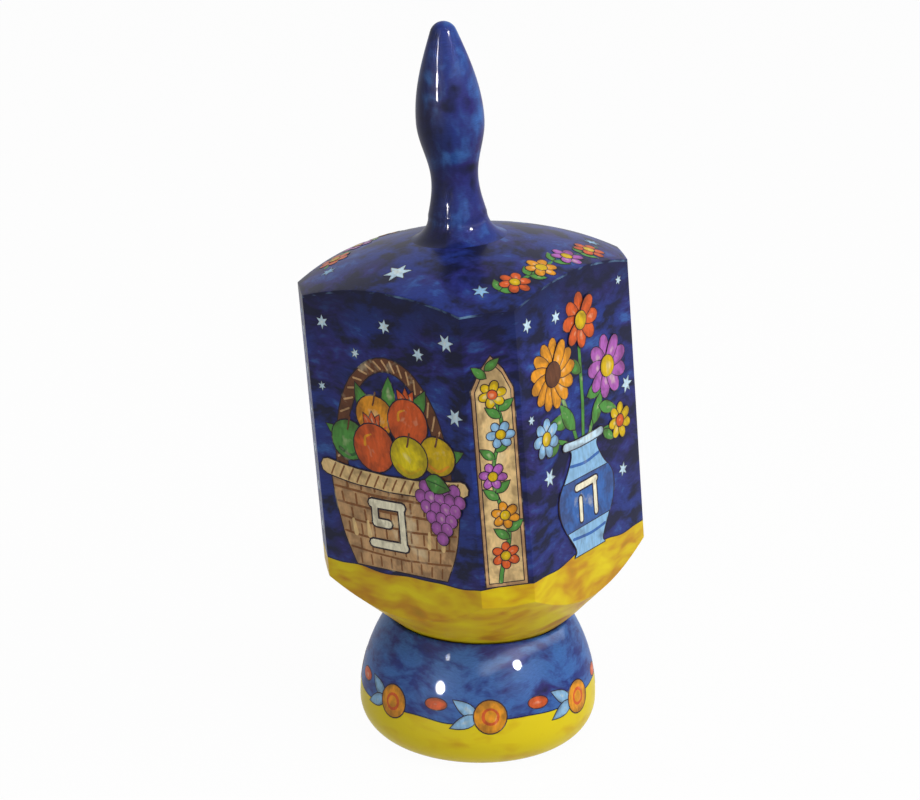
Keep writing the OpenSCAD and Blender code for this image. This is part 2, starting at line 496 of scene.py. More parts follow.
def add_node(tree, kind, inputs=None, stops=(), **settings):
    """Adds a shader node with its settings, sets or links its inputs, fills its ramp, gives its outputs"""
    node = tree.nodes.new("ShaderNode" + kind)
    for key, value in settings.items():
        setattr(node, key, value)
    for key, value in (inputs or {}).items():
        if isinstance(value, bpy.types.NodeSocket):
            tree.links.new(value, node.inputs[key])
        else:
            node.inputs[key].default_value = value
    for i, (position, tint) in enumerate(stops):
        if i > 1:
            node.color_ramp.elements.new(position)
        node.color_ramp.elements[i].position = position
        node.color_ramp.elements[i].color = tint
    return node.outputs


def new_material(name):
    """Empty node material"""
    material = bpy.data.materials.new(name)
    material.use_nodes = True
    material.node_tree.nodes.clear()
    return material


def brushed_place(tree, matrix):
    """Object coordinates in a piece's own frame, straight and bent a little as a hand bends its strokes"""
    seen = add_node(tree, "TexCoord")["Object"]
    turned = {"Vector": seen, "Location": matrix.to_translation(), "Rotation": matrix.to_euler()}
    own = add_node(tree, "Mapping", turned, vector_type="TEXTURE")["Vector"]
    bend = add_node(tree, "TexNoise", {"Vector": own, "Scale": 1 / SCUMBLE, "Detail": 2.0})["Color"]
    shifted = add_node(tree, "VectorMath", {0: bend, 1: [HAND_BEND] * 3, 2: own}, operation="MULTIPLY_ADD")
    return own, shifted["Vector"]


def brush_marks(tree, there, size, stretch, detail=3.0):
    """Noise drawn out along the strokes, from 0 to 1"""
    drawn = add_node(tree, "VectorMath", {0: there, 1: (1, 1, stretch)}, operation="MULTIPLY")["Vector"]
    marks = {"Vector": drawn, "Scale": 1 / size, "Detail": detail, "Roughness": 0.62}
    return add_node(tree, "TexNoise", marks)["Fac"]


def brush_dabs(tree, there):
    """Dabs of a full brush that overlap, each of a tone of its own from 0 to 1"""
    drawn = add_node(tree, "VectorMath", {0: there, 1: (1, 1, DAB_STRETCH)}, operation="MULTIPLY")["Vector"]
    dabs = {"Vector": drawn, "Scale": 1 / DAB, "Smoothness": 0.9}
    tones = add_node(tree, "TexVoronoi", dabs, feature="SMOOTH_F1")["Color"]
    return add_node(tree, "SeparateColor", {"Color": tones})["Red"]


def streaked(tree, base, bristles):
    """Colour thinned and thickened along the fine tracks of the bristles"""
    track = {"Value": bristles, "From Min": 0.32, "From Max": 0.66, "To Min": 0.80, "To Max": 1.12}
    tone = add_node(tree, "MapRange", track)["Result"]
    return add_node(tree, "Mix", {0: 1.0, 6: base, 7: tone}, data_type="RGBA", blend_type="MULTIPLY")[2]


def varnished(tree, base, bristles, haze=POLISHED):
    """Artist's acrylic under two brushed coats of gloss varnish: deep colour, and small bright
    reflections that the haze of the coat blurs
    """
    ridges = add_node(tree, "Bump", {"Height": bristles, "Strength": 0.25, "Distance": 0.00006})["Normal"]
    finish = {
        "Base Color": base,
        "Roughness": 0.5,
        "Specular IOR Level": 0.05,
        "Coat Weight": 0.22,
        "Coat Roughness": haze,
        "Coat IOR": 1.48,
        "Normal": ridges,
    }
    surface = add_node(tree, "BsdfPrincipled", finish)["BSDF"]
    add_node(tree, "OutputMaterial", {"Surface": surface})


def by_tone(tree, tone, ramp, paints):
    """Paint that a tone calls for, by a ramp of tones and names of paints"""
    stops = [(position, getattr(paints, name)) for position, name in ramp.items()]
    return add_node(tree, "ValToRGB", {"Fac": tone}, stops)["Color"]


def painted_sky(
    name,
    matrix,
    paints,
    lift,
    stretch=STROKE_STRETCH,
    ground=None,
    crown=None,
    shaded_side=None,
    haze=POLISHED,
):
    """Acrylic night sky of overlapping blue dabs, brushed in the frame that the matrix gives.

    Lift makes it lighter and stretch draws its strokes out. The ground is the height of its top and how
    far it leans to lemon. The crown is the ball, as centre height and radius, that the top is turned to:
    the sky is darkest on the flats just under it, and a pale line of painted highlight runs along the edge
    between them. The side given for painted shade is the direction in which the sky deepens, and haze is
    how much the varnish blurs.
    """
    material = new_material(name)
    tree = material.node_tree
    own, bent = brushed_place(tree, matrix)
    dabs = {0: brush_dabs(tree, bent), 1: DAB_SHARE, 2: lift + SKY_DEPTH}
    dabbed = add_node(tree, "Math", dabs, operation="MULTIPLY_ADD")["Value"]
    marks = {0: brush_marks(tree, bent, STROKE, stretch), 1: MARK_SHARE, 2: dabbed}
    strokes = add_node(tree, "Math", marks, operation="MULTIPLY_ADD")["Value"]
    patches = brush_marks(tree, bent, SCUMBLE, SCUMBLE_STRETCH, detail=1.0)
    share = add_node(tree, "MapRange", {"Value": patches, "From Min": 0.40, "From Max": 0.60})["Result"]
    warm, cool = (by_tone(tree, strokes, ramp, paints) for ramp in (WARM_SKY, COOL_SKY))
    base = add_node(tree, "Mix", {0: share, 6: warm, 7: cool}, data_type="RGBA")[2]
    if crown is not None:
        base = darkened_under_crown_with_highlight(tree, own, strokes, base, paints, *crown)
    if shaded_side is not None:
        base = painted_shade_along_side(tree, own, strokes, base, paints, shaded_side)
    bristles = brush_marks(tree, bent, BRISTLE, BRISTLE_STRETCH, detail=2.0)
    base = streaked(tree, base, bristles)
    if ground is not None:
        base = with_ground(tree, own, bent, base, paints, *ground)
    varnished(tree, base, bristles, haze)
    return material


def darkened_under_crown_with_highlight(tree, own, strokes, sky, paints, centre, radius):
    """Sky darkest on the flats just under the turned top, with a pale painted highlight along the edge"""
    reach = add_node(tree, "VectorMath", {0: own, 1: (0, 0, centre)}, operation="DISTANCE")["Value"]
    flats = add_node(tree, "Math", {0: reach, 1: radius - CROWN_SKIN}, operation="LESS_THAN")["Value"]
    band = {"Value": reach, "From Min": radius - RIM_SHADE, "From Max": radius - RIM_HIGHLIGHT_WIDTH, "To Max": 0.8}
    shadow = add_node(tree, "MapRange", band)["Result"]
    shade = add_node(tree, "Math", {0: shadow, 1: flats}, operation="MULTIPLY")["Value"]
    sky = add_node(tree, "Mix", {0: shade, 6: sky, 7: paints.midnight}, data_type="RGBA")[2]
    # Painted highlight: a broken pale line where the flats meet the turned top
    above = add_node(tree, "Math", {0: reach, 1: radius - RIM_HIGHLIGHT_WIDTH}, operation="GREATER_THAN")["Value"]
    line = add_node(tree, "Math", {0: above, 1: flats}, operation="MULTIPLY")["Value"]
    gaps = {"Value": strokes, "From Min": 0.42, "From Max": 0.60, "To Max": 0.45}
    broken = add_node(tree, "MapRange", gaps)["Result"]
    line = add_node(tree, "Math", {0: line, 1: broken}, operation="MULTIPLY")["Value"]
    return add_node(tree, "Mix", {0: line, 6: sky, 7: paints.light_blue}, data_type="RGBA")[2]


def painted_shade_along_side(tree, own, strokes, sky, paints, azimuth):
    """Painted shade: the sky deepens, stroke by stroke, round to the grip's unlit side"""
    side = (math.cos(azimuth), math.sin(azimuth), 0)
    reach = add_node(tree, "VectorMath", {0: own, 1: side}, operation="DOT_PRODUCT")["Value"]
    frayed = {0: strokes, 1: -SIDE_UNEVEN, 2: reach}
    uneven = add_node(tree, "Math", frayed, operation="MULTIPLY_ADD")["Value"]
    fade = {"Value": uneven, "From Min": SIDE_START, "From Max": SIDE_END, "To Max": 0.8}
    shade = add_node(tree, "MapRange", fade)["Result"]
    return add_node(tree, "Mix", {0: shade, 6: sky, 7: paints.midnight}, data_type="RGBA")[2]


def with_ground(tree, own, bent, sky, paints, top, lemon_share):
    """Ground of thin golden washes below the sky, with a fine dark line where they meet"""
    washes = brush_marks(tree, bent, WASH, WASH_STRETCH, detail=2.5)
    tone = add_node(tree, "Math", {0: washes, 1: lemon_share}, operation="ADD")["Value"]
    ground = by_tone(tree, tone, GROUND_WASHES, paints)
    height = add_node(tree, "SeparateXYZ", {"Vector": own})["Z"]
    rolling = brush_marks(tree, own, ROLLING, ROLLING_STRETCH, detail=1.0)
    edge = {0: rolling, 1: -2 * GROUND_SWELL, 2: height}
    edge = add_node(tree, "Math", edge, operation="MULTIPLY_ADD")["Value"]
    level = top - GROUND_SWELL
    above = add_node(tree, "Math", {0: edge, 1: level}, operation="GREATER_THAN")["Value"]
    line = add_node(tree, "Math", {0: edge, 1: level, 2: GROUND_LINE / 2}, operation="COMPARE")["Value"]
    both = add_node(tree, "Mix", {0: above, 6: ground, 7: sky}, data_type="RGBA")[2]
    return add_node(tree, "Mix", {0: line, 6: both, 7: paints.midnight}, data_type="RGBA")[2]


def toned(tint, share, other):
    """Paint with a share of another colour stirred in"""
    return (*(a + (b - a) * share for a, b in zip(tint[:3], other[:3])), 1.0)


def brushed_film(paint, tint, matrix, shaded=False):
    """Acrylic thinned with water: dark where it pooled, pale where it was spread, streaked by the brush.

    Where it is shaded, it gets darker from the middle of each film towards the rim.
    """
    material = new_material("acrylic_" + paint)
    tree = material.node_tree
    own, bent = brushed_place(tree, matrix)
    middle = add_node(tree, "Attribute", attribute_name=MIDDLE)["Fac"] if shaded else HALFWAY
    depth = {0: middle, 1: MODELLING, 2: brush_marks(tree, bent, POOL, 1.0)}
    tone = add_node(tree, "Math", depth, operation="MULTIPLY_ADD")["Value"]
    pooled, spread = toned(tint, POOLED, UMBER_SHADE), toned(tint, SPREAD, CREAM_LIGHT)
    stops = [(0.46, pooled), (0.62, tint), (0.74, tint), (0.90, spread)]
    base = add_node(tree, "ValToRGB", {"Fac": tone}, stops)["Color"]
    bristles = brush_marks(tree, bent, BRISTLE, FILM_BRISTLES, detail=2.0)
    varnished(tree, streaked(tree, base, bristles), bristles)
    return material


# Films of paint, in millimetres: height of a level, part of a level between the shapes of one group,
# depth of a film, and usual ink line
FILM_STEP = 0.012
GROUP_STEP = 0.05
FILM_DEPTH = 0.2
INK_LINE = 0.34
# How far and over what distance a hand strays from an outline, in millimetres, how much the noise that
# moves it shifts from one shape to the next, and the noise's seed
WOBBLE = 0.22
WOBBLE_PERIOD = 6
WOBBLE_SHIFT = 0.7
WOBBLE_SEED = 5

# Paints that the pictures are drawn with, each a colour of DreidelColours
PAINTS = ["ink", "tan", "sand", "brown", "umber", "cream", "red_orange", "amber", "golden", "lemon"]
PAINTS += ["green", "deep_green", "magenta", "light_blue", "pale_blue", "cobalt"]


def film_paints(matrix, colours, prefix=""):
    """All the film paints, brushed in the frame of the piece that they lie on"""
    return {p: brushed_film(prefix + p, getattr(colours, p), matrix, shaded=True) for p in PAINTS}


def disc(x, y, radius, flat=1.0, count=22):
    """Round spot, flattened where flat is under one"""
    around = arc(0, 360, count)[:-1]
    return [Vector((x + radius * math.cos(a), y + radius * flat * math.sin(a))) for a in around]


def star(x, y, outer, inner, heading):
    """Star with six straight rays"""
    rays = zip(arc(heading, heading + 360, 12)[:-1], (outer, inner) * 6)
    return [Vector((x + r * math.cos(a), y + r * math.sin(a))) for a, r in rays]


def blade(x, y, heading, side):
    """Closed outline from (distance, half width) points along a heading in degrees"""
    turn = Matrix.Rotation(math.radians(heading), 2)
    right = [Vector((x, y)) + turn @ Vector((along, -half)) for along, half in side]
    left = [Vector((x, y)) + turn @ Vector((along, half)) for along, half in side[-2:0:-1]]
    return right + left


def leaf(x, y, size, width, heading):
    """Pointed leaf that starts at a place and runs size along a heading in degrees"""
    side = [(size * t, width / 2 * math.sin(math.pi * t**0.8)) for t in parts_of_one(7)]
    return blade(x, y, heading, side)


def petal(x, y, size, width, heading):
    """Petal with a rounded end that starts at a place"""
    side = []
    for t in parts_of_one(8):
        fullness = 0.55 + 0.6 * t
        side.append((size * (1 - math.cos(math.pi * t)) / 2, width / 2 * math.sin(math.pi * t) * fullness))
    return blade(x, y, heading, side)


def scaled(points, x, y, size):
    """Points drawn at size one, set round a place"""
    return [Vector((x + a * size, y + b * size)) for a, b in points]


def straight(start, end):
    """Straight path with a point at its middle"""
    return [start, (start + end) / 2, end]


def curve_through(points, steps=6):
    """Smooth open line through a few points"""
    knots = [Vector(p) for p in points]
    knots = [knots[0] * 2 - knots[1], *knots, knots[-1] * 2 - knots[-2]]
    line = []
    for a, b, c, d in zip(knots, knots[1:], knots[2:], knots[3:]):
        for t in parts_of_one(steps)[:-1]:
            bend = (2 * a - 5 * b + 4 * c - d) * t**2 + (3 * (b - c) + d - a) * t**3
            line.append((2 * b + (c - a) * t + bend) / 2)
    return [*line, knots[-2]]


def vessel(profile, steps=5):
    """Closed outline with the same curve on both sides, from (height, half width) points"""
    side = curve_through([(w, y) for y, w in profile], steps)
    return side + [Vector((-p.x, p.y)) for p in reversed(side)]


def stroke(path, width, end_width=None, blunt=False):
    """Mark of a loaded brush along a path, with round ends, or square ones where it is blunt"""
    end_width = width if end_width is None else end_width
    path = [Vector(p) for p in path]
    last = len(path) - 1
    right, left = [], []
    for i, point in enumerate(path):
        along = (path[min(i + 1, last)] - path[max(i - 1, 0)]).normalized()
        across = Vector((-along.y, along.x)) * (width + (end_width - width) * i / last) / 2
        right.append(point - across)
        left.append(point + across)
    if blunt:
        return right + left[::-1]
    caps = []
    for centre, side in ((path[-1], right[-1] - path[-1]), (path[0], left[0] - path[0])):
        caps.append([centre + Matrix.Rotation(a, 2) @ side for a in arc(0, 180, 4)[1:-1]])
    return right + caps[0] + left[::-1] + caps[1]


def signed_area(outline):
    """Area of a flat outline, above zero where it runs anticlockwise"""
    pairs = zip(outline, outline[1:] + outline[:1])
    return sum(a.x * b.y - b.x * a.y for a, b in pairs) / 2


def grown(outline, by):
    """Outline moved outwards all round, with its sharp corners held back"""
    moved = []
    for i, point in enumerate(outline):
        before = (point - outline[i - 1]).normalized()
        after = (outline[(i + 1) % len(outline)] - point).normalized()
        out = Vector((before.y + after.y, -before.x - after.x))
        if out.length < 0.5:
            out = Vector((before.y, -before.x)) * 0.5
        moved.append(point + out.normalized() * by / max(0.6, out.length / 2))
    return moved


class Picture:
    """Films of paint, drawn back to front as flat outlines in millimetres"""

    def __init__(self, name, paints):
        noise.seed_set(WOBBLE_SEED)
        deselect_all()
        bpy.ops.mesh.primitive_plane_add(size=MM)
        self.piece = bpy.context.object
        self.piece.name = name
        self.drawn = []
        self.touch = 0
        for paint in PAINTS:
            self.piece.data.materials.append(paints[paint])
        bpy.ops.object.mode_set(mode="EDIT")
        bpy.ops.mesh.select_all(action="SELECT")
        bpy.ops.mesh.delete(type="VERT")
        bmesh.from_edit_mesh(self.piece.data).verts.layers.float.new(MIDDLE)
        bmesh.update_edit_mesh(self.piece.data)

    def level_over(self, outlines):
        """Box round these outlines, and the first level above all the films that it overlaps"""
        xs = [p.x for outline in outlines for p in outline]
        ys = [p.y for outline in outlines for p in outline]
        left, low, right, high = min(xs), min(ys), max(xs), max(ys)
        under = [
            level
            for x0, y0, x1, y1, level in self.drawn
            if x0 < right and x1 > left and y0 < high and y1 > low
        ]
        return (left, low, right, high), max(under, default=0) + 1

    def by_hand(self, outline):
        """Outline with the small unevenness of a hand-drawn one"""
        self.touch += 1
        moved = []
        for point in map(Vector, outline):
            there = (point.x / WOBBLE_PERIOD, point.y / WOBBLE_PERIOD, self.touch * WOBBLE_SHIFT)
            moved.append(point + noise.noise_vector(there).xy * WOBBLE)
        return moved if signed_area(moved) > 0 else moved[::-1]

    def film(self, outline, level, paint, shaded=False):
        """One film of one paint, with a point in its middle where that sees the whole rim"""
        bpy.ops.mesh.select_all(action="DESELECT")
        bpy.ops.mesh.primitive_circle_add(vertices=len(outline), radius=1, fill_type="NGON")
        mesh = bmesh.from_edit_mesh(self.piece.data)
        face = next(f for f in mesh.faces if f.select)
        face.material_index = PAINTS.index(paint)
        depth = mesh.verts.layers.float[MIDDLE]
        hub = sum(outline, Vector((0, 0))) / len(outline)
        sees_rim = all((a - hub).cross(b - hub) > 0 for a, b in zip(outline, outline[1:] + outline[:1]))
        shaded = shaded and sees_rim
        for corner, point in zip(face.verts, outline):
            corner.co = Vector((point.x, point.y, level * FILM_STEP))
            corner[depth] = 0.0 if shaded else HALFWAY
        face.normal_update()
        if face.normal.z < 0:
            face.normal_flip()
        if sees_rim:
            middle = bmesh.ops.poke(mesh, faces=[face])["verts"][0]
            middle.co = Vector((hub.x, hub.y, level * FILM_STEP))
            middle[depth] = 1.0 if shaded else HALFWAY
        bmesh.update_edit_mesh(self.piece.data)

    def add(self, outline, paint, ink=INK_LINE):
        """Draws a shape, with an ink line round it where ink is above zero"""
        self.add_group([outline], paint, ink, shaded=ink > 0)

    def mark(self, path, width, paint, ink=0, end_width=None):
        """Draws one mark of the brush along a path"""
        self.add(stroke(path, width, end_width), paint, ink)

    def add_group(self, outlines, paint, ink=INK_LINE, shaded=False):
        """Draws shapes that run into each other, with one ink line round them all"""
        outlines = [self.by_hand(outline) for outline in outlines]
        rims = [grown(outline, ink) for outline in outlines] if ink else outlines
        box, level = self.level_over(rims)
        if ink:
            for i, rim in enumerate(rims):
                self.film(rim, level + GROUP_STEP * i, "ink")
            level += 1
        for i, outline in enumerate(outlines):
            self.film(outline, level + GROUP_STEP * i, paint, shaded)
        self.drawn.append((*box, level))

    def finish(self, matrix, bend=None):
        """Bends the films to the wood where it is round, gives them thickness and lays them on"""
        if bend:
            bpy.ops.mesh.select_all(action="SELECT")
            bpy.ops.mesh.subdivide(number_cuts=2)
            mesh = bmesh.from_edit_mesh(self.piece.data)
            for corner in mesh.verts:
                corner.co = bend(corner.co)
            bmesh.update_edit_mesh(self.piece.data)
        bpy.ops.object.mode_set(mode="OBJECT")
        bpy.ops.object.material_slot_remove_unused()
        coat = self.piece.modifiers.new("coat", "SOLIDIFY")
        coat.thickness = FILM_DEPTH
        coat.offset = -1
        bpy.ops.object.modifier_apply(modifier=coat.name)
        place(self.piece, matrix @ Matrix.Scale(MM, 4))
        return self.piece


# Traditional letters of a dreidel as brush strokes in a square of side one, and how wide the strokes are
LETTERS = {
    "nun": [((0.32, 0.92), (0.72, 0.92)), ((0.70, 0.92), (0.70, 0.08)), ((0.14, 0.08), (0.72, 0.08))],
    "gimel": [((0.30, 0.92), (0.66, 0.92)), ((0.63, 0.92), (0.74, 0.05)), ((0.70, 0.36), (0.24, 0.05))],
    "he": [((0.08, 0.92), (0.92, 0.92)), ((0.86, 0.92), (0.86, 0.04)), ((0.20, 0.60), (0.20, 0.04))],
    "pe": [
        ((0.12, 0.92), (0.86, 0.92)),
        ((0.84, 0.92), (0.84, 0.08)),
        ((0.08, 0.08), (0.86, 0.08)),
        ((0.18, 0.92), (0.18, 0.52)),
        ((0.18, 0.52), (0.50, 0.52)),
    ],
}
LEVEL_STROKE, UPRIGHT_STROKE = 0.16, 0.13

# Height of the foot of each picture, on the golden ground, in millimetres
FOOT = -7.2
# Leaf width as a share of its length, and what a petal's width comes to for a flower of one petal
LEAF_SHAPE = 0.42
PETAL_WIDTH = 5 / 3


def letter(picture, name, x, y, size):
    """One block letter of the game, centred on a point"""
    strokes = []
    for ends in LETTERS[name]:
        width = LEVEL_STROKE if ends[0][1] == ends[1][1] else UPRIGHT_STROKE
        path = straight(*scaled(ends, x - size / 2, y - size / 2, size))
        strokes.append(stroke(path, size * width))
    picture.add_group(strokes, "cream", ink=0.45)


def green_leaf(picture, x, y, size, heading, ink=0.25):
    """Green leaf of the usual shape"""
    picture.add(leaf(x, y, size, size * LEAF_SHAPE, heading), "green", ink)


def flower(picture, x, y, radius, petals, paint, heart, heading=90):
    """Open flower with rounded petals round a heart"""
    for i in range(petals):
        width = radius * PETAL_WIDTH / math.sqrt(petals)
        picture.add(petal(x, y, radius, width, heading + 360 * i / petals), paint, ink=0.22)
    picture.add(disc(x, y, radius * 0.34), heart, ink=0.22)


def sprig(picture, path, pairs, size):
    """Stem along a path with pairs of leaves and one at its end"""
    line = curve_through(path, 8)
    picture.mark(line, 1.1, "deep_green", end_width=0.5)
    last = len(line) - 1
    knots = [round((i + 0.8) / (pairs + 0.6) * last) for i in range(pairs)]
    turns = [(knot, side) for knot in knots for side in (-48, 48)]
    for knot, side in [*turns, (last, 0)]:
        ahead = line[min(knot + 1, last)] - line[min(knot, last - 1)]
        heading = math.degrees(math.atan2(ahead.y, ahead.x))
        green_leaf(picture, *line[knot], size, heading + side, ink=0.22)


def night_stars(picture, places):
    """Small pale stars in the sky"""
    for i, (x, y) in enumerate(places):
        size = (1.9, 1.3, 2.4)[i % 3]
        picture.add(star(x, y, size, size * 0.45, 90 + 17 * i), "pale_blue", ink=0.15)


def pomegranate(picture, x, y, radius):
    """Red fruit with a little crown and a light dab"""
    for heading in (60, 90, 120):
        picture.add(leaf(x, y + radius * 0.7, radius * 0.8, radius * 0.36, heading), "red_orange", ink=0.25)
    picture.add(disc(x, y, radius), "red_orange")
    dab = scaled([(-0.45, 0.1), (-0.4, 0.4), (-0.1, 0.55)], x, y, radius)
    picture.mark(curve_through(dab), 0.9, "amber", end_width=0.4)


def round_fruit(picture, x, y, radius, paint, shade):
    """Round fruit with a darker underside and the dent of its stalk"""
    picture.add(disc(x, y, radius, 0.94), paint)
    under = scaled([(-0.6, -0.42), (0, -0.72), (0.62, -0.38)], x, y, radius)
    picture.mark(curve_through(under), 1.0, shade, end_width=0.6)
    stalk = [(x - 0.3, y + radius * 0.5), (x, y + radius * 0.62), (x + 0.7, y + radius * 1.1)]
    picture.mark(stalk, 0.55, "umber")


def grapes(picture, x, y, bead):
    """Bunch of grapes that hangs from a point"""
    for row, count in enumerate((4, 5, 4, 3, 2, 1)):
        for i in range(count):
            across = (i - (count - 1) / 2) * bead * 1.75
            picture.add(disc(x + across, y - row * bead * 1.5, bead, count=12), "magenta", ink=0.2)


def half_width(y, profile):
    """Half width of the basket at a height, between the (height, half width) points of its profile"""
    for (y0, w0), (y1, w1) in zip(profile, profile[1:]):
        if y <= y1:
            return w0 + (w1 - w0) * max(0.0, (y - y0) / (y1 - y0))
    return profile[-1][1]


def weave(picture, profile, top, courses=6, splints=9):
    """Courses of a basket's weave from its foot to its rim, with splints between them"""
    step = (top - FOOT) / courses
    for course in range(courses):
        y = FOOT + course * step
        w = half_width(y, profile)
        if course:
            end, bend = w - 0.3, w / 2
            line = [(-end, y + 0.5), (-bend, y - 0.3), (0, y - 0.5), (bend, y - 0.3), (end, y + 0.5)]
            picture.mark(curve_through(line), 0.55, "brown")
        shift = course % 2
        for i in range(splints + shift):
            x = (i - (splints - 1 + shift) / 2) * 2 * w / splints
            if abs(x) < w - 0.8:
                splint = [(x, y + 0.5), (x * 1.01, y + step / 2), (x * 1.02, y + step - 1.0)]
                picture.mark(splint, 0.5, "brown")


def paint_basket(picture):
    """Woven basket of fruit"""
    night_stars(picture, [(-19, 57), (-9, 50), (20, 56), (1, 58), (-21, 40), (21, 37), (11, 52)])

    def on_handle(a, out=0.0):
        return Vector(((16.5 + out) * math.cos(a), 20 + (28 + out) * math.sin(a)))

    picture.mark([on_handle(a) for a in arc(0, 180, 24)], 3.4, "umber", ink=INK_LINE)
    for a in arc(6, 174, 20):
        picture.mark(straight(on_handle(a - 0.05, -1.1), on_handle(a + 0.05, 1.1)), 0.5, "tan")
    for x, y, heading in ((-12, 25, 150), (-6.4, 33, 110), (7.2, 34, 60), (13.6, 24, 25), (0, 35, 85)):
        green_leaf(picture, x, y, 10, heading)
    round_fruit(picture, -4.5, 34, 5.8, "amber", "red_orange")
    pomegranate(picture, 6, 33.5, 6.2)
    round_fruit(picture, -13.5, 26.5, 5.6, "green", "deep_green")
    round_fruit(picture, 14.5, 26, 5.4, "golden", "amber")
    pomegranate(picture, -5.5, 25.5, 6.4)
    round_fruit(picture, 5.5, 24.5, 5.8, "lemon", "golden")
    profile = [(FOOT, 14.5), (0, 17.6), (8, 19.4), (17, 20.6)]
    picture.add(vessel(profile), "tan")
    weave(picture, profile, top=17)
    for x in (-14, -9.5, 9.5, 14):
        picture.mark([(x, 1.2), (x * 1.02, 3), (x * 1.04, 5)], 1.3, "sand", end_width=0.8)
    rim = [(-21.5, 18.4), (-11, 16.9), (0, 16.4), (11, 16.9), (21.5, 18.4)]
    picture.mark(curve_through(rim), 4.0, "sand", ink=INK_LINE)
    for i in range(15):
        x = -19.6 + 2.8 * i
        y = 16.4 + 2.0 * (x / 21.5) ** 2
        picture.mark([(x - 0.8, y - 1.5), (x, y), (x + 0.9, y + 1.5)], 0.5, "brown")
    grapes(picture, 14.5, 17.5, 1.75)
    picture.add(leaf(10.5, 19.5, 7.5, 5, -12), "green", ink=0.25)
    picture.mark([(11, 19.4), (13.5, 18.9), (16.5, 18.2)], 0.35, "deep_green")
    letter(picture, "pe", -3, 5, 13)


def paint_vase(picture):
    """Blue vase of flowers"""
    night_stars(picture, [(-20, 58), (-21, 34), (21, 31), (-8, 57), (20, 59), (-15, 17), (17, 9)])
    stems = [
        [(-1.5, 20), (-5, 30), (-10, 40)],
        [(0, 20), (1, 32), (1, 48)],
        [(1.5, 20), (6, 28), (12, 35)],
        [(-2.5, 20), (-8, 24), (-14, 26)],
        [(2.5, 20), (8, 22), (14, 22)],
    ]
    for stem in stems:
        picture.mark(curve_through(stem), 1.1, "green", ink=0.2)
    leaves = [(-5, 29, 9, 170), (3, 33, 9, 10), (-3, 26, 10, 125), (5, 25, 9, 60)]
    leaves += [(1, 40, 8, 140), (8, 29, 8, -20), (-10, 24.5, 6, 200), (9, 22, 6, -35)]
    for x, y, size, heading in leaves:
        green_leaf(picture, x, y, size, heading)
    flower(picture, -11, 43, 9.2, 13, "amber", "umber", 84)
    flower(picture, 12.5, 38.5, 8.4, 9, "magenta", "golden", 97)
    flower(picture, 2, 53.5, 7.2, 8, "red_orange", "golden", 90)
    flower(picture, -15.5, 27.5, 5.2, 7, "light_blue", "golden", 80)
    flower(picture, 16.5, 22.5, 4.8, 7, "golden", "red_orange", 80)
    pot = [(FOOT, 6.5), (FOOT + 2.2, 6.0), (4, 11.4), (10, 11.8), (15.5, 7.6), (20, 5.4), (22.5, 7.4)]
    picture.add(vessel(pot), "light_blue")
    belt = [(0.2, 9.6), (4, 11.5), (9.5, 11.9), (13, 10.0)]
    picture.add(vessel(belt, 6), "cobalt", ink=0.25)
    for y, w in ((16.8, 6.2), (-2.6, 7.0)):
        picture.mark(curve_through([(-w, y + 0.3), (0, y - 0.3), (w, y + 0.3)]), 0.8, "cobalt")
    picture.mark(curve_through([(-8, 22.6), (0, 22.1), (8, 22.6)]), 2.0, "pale_blue", ink=0.3)
    letter(picture, "he", 0, 6.6, 10)


def paint_lamp(picture):
    """Golden lamp with nine lights"""
    night_stars(picture, [(-21, 57), (-12, 58), (12, 59), (21, 56), (-21, 10), (21, 12)])
    pitch, arm_y = 4.9, 35
    for k in (4, 3, 2, 1):
        picture.mark(bow(0, arm_y, pitch * k, 180, 360, 12 + 4 * k), 1.9, "golden", ink=0.3)
    picture.mark([(0, 6), (0, 20), (0, arm_y + 3)], 2.4, "golden", ink=0.3)
    for y, r in ((11.5, 2.6), (21, 2.1), (30, 2.1)):
        picture.add(disc(0, y, r, 0.8), "amber", ink=0.3)
    candles = ["light_blue", "pale_blue", "green", "magenta", "cream"]
    for k in range(-4, 5):
        x = pitch * k
        y = arm_y + (0 if k else 4)
        holder = [(x - 1.3, y), (x + 1.3, y), (x + 1.9, y + 1.8), (x - 1.9, y + 1.8)]
        picture.add(holder, "amber", ink=0.25)
        candle = stroke([(x, y + 1.8), (x, y + 5), (x, y + 8.6)], 1.9, blunt=True)
        picture.add(candle, candles[abs(k)], ink=0.25)
        picture.add(petal(x, y + 13.2, 4.6, 2.6, -90), "amber", ink=0.2)
        picture.add(petal(x, y + 11.6, 2.8, 1.3, -90), "lemon", ink=0)
    picture.add(vessel([(FOOT, 15), (FOOT + 2.5, 14.6), (0, 11.5), (5, 7.5), (8.5, 3.0)]), "golden")
    picture.mark([(-13.5, FOOT + 1.2), (0, FOOT + 0.8), (13.5, FOOT + 1.2)], 0.9, "amber")
    letter(picture, "gimel", 0, -0.4, 8)


